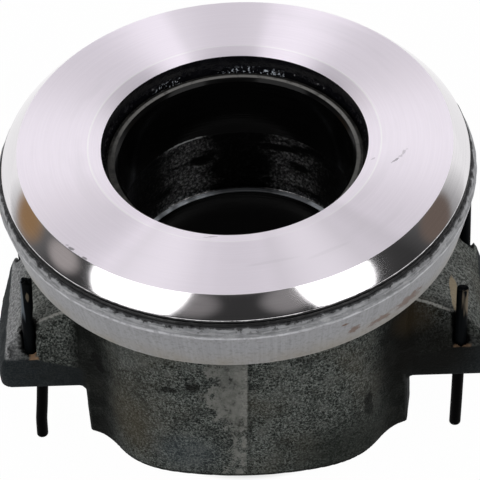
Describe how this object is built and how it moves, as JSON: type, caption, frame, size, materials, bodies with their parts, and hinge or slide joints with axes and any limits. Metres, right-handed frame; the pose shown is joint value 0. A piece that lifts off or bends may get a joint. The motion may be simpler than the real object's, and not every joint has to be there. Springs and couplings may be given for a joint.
{
  "type": "clutch release bearing",
  "caption": "Clutch release bearing: polished rotating thrust ring in a steel casing on a cast-iron sleeve with a guide bore, two fork lugs and wire retaining pins.",
  "frame": {"origin": "on the guide bore's axis, level with the tips of the four retaining pins that the part stands on", "axes": "+Z along the bore towards the clutch, X through the two fork lugs, front of the picture towards -Y"},
  "size_m": [0.1306, 0.1184, 0.087],
  "materials": {
    "iron": "rough cast, dark",
    "casing_steel": "dull, dirty at the lip",
    "polished_steel": "ground face, polished edge",
    "race_steel": "hardened and ground",
    "cage_brass": "machined",
    "seal_rubber": "black, greasy",
    "spring_steel": "blackened"
  },
  "bodies": {
    "carrier": {"carrier": "iron", "casing": "casing_steel", "retaining_ring": "spring_steel", "fixed_race": "race_steel", "outer_seal": "seal_rubber", "inner_seal": "seal_rubber", "pin_front_left": "spring_steel", "pin_front_right": "spring_steel", "pin_back_left": "spring_steel", "pin_back_right": "spring_steel"},
    "thrust_ring": {"thrust_ring": "polished_steel"},
    "ball_set": {"cage": "cage_brass", "ball_01": "race_steel", "ball_02": "race_steel", "ball_03": "race_steel", "ball_04": "race_steel", "ball_05": "race_steel", "ball_06": "race_steel", "ball_07": "race_steel", "ball_08": "race_steel", "ball_09": "race_steel", "ball_10": "race_steel", "ball_11": "race_steel", "ball_12": "race_steel", "ball_13": "race_steel", "ball_14": "race_steel", "ball_15": "race_steel", "ball_16": "race_steel", "ball_17": "race_steel", "ball_18": "race_steel", "ball_19": "race_steel", "ball_20": "race_steel"}
  },
  "joints": [
    {"name": "thrust_spin", "type": "hinge", "parent": "carrier", "child": "thrust_ring", "pos_m": [0, 0, 0.08], "axis": [0, 0, 1], "continuous": true},
    {"name": "ball_orbit", "type": "hinge", "parent": "carrier", "child": "ball_set", "pos_m": [0, 0, 0.0752], "axis": [0, 0, 1], "continuous": true}
  ],
  "couplings": [
    {"joint": "ball_orbit", "follows": "thrust_spin", "ratio": 0.5}
  ]
}
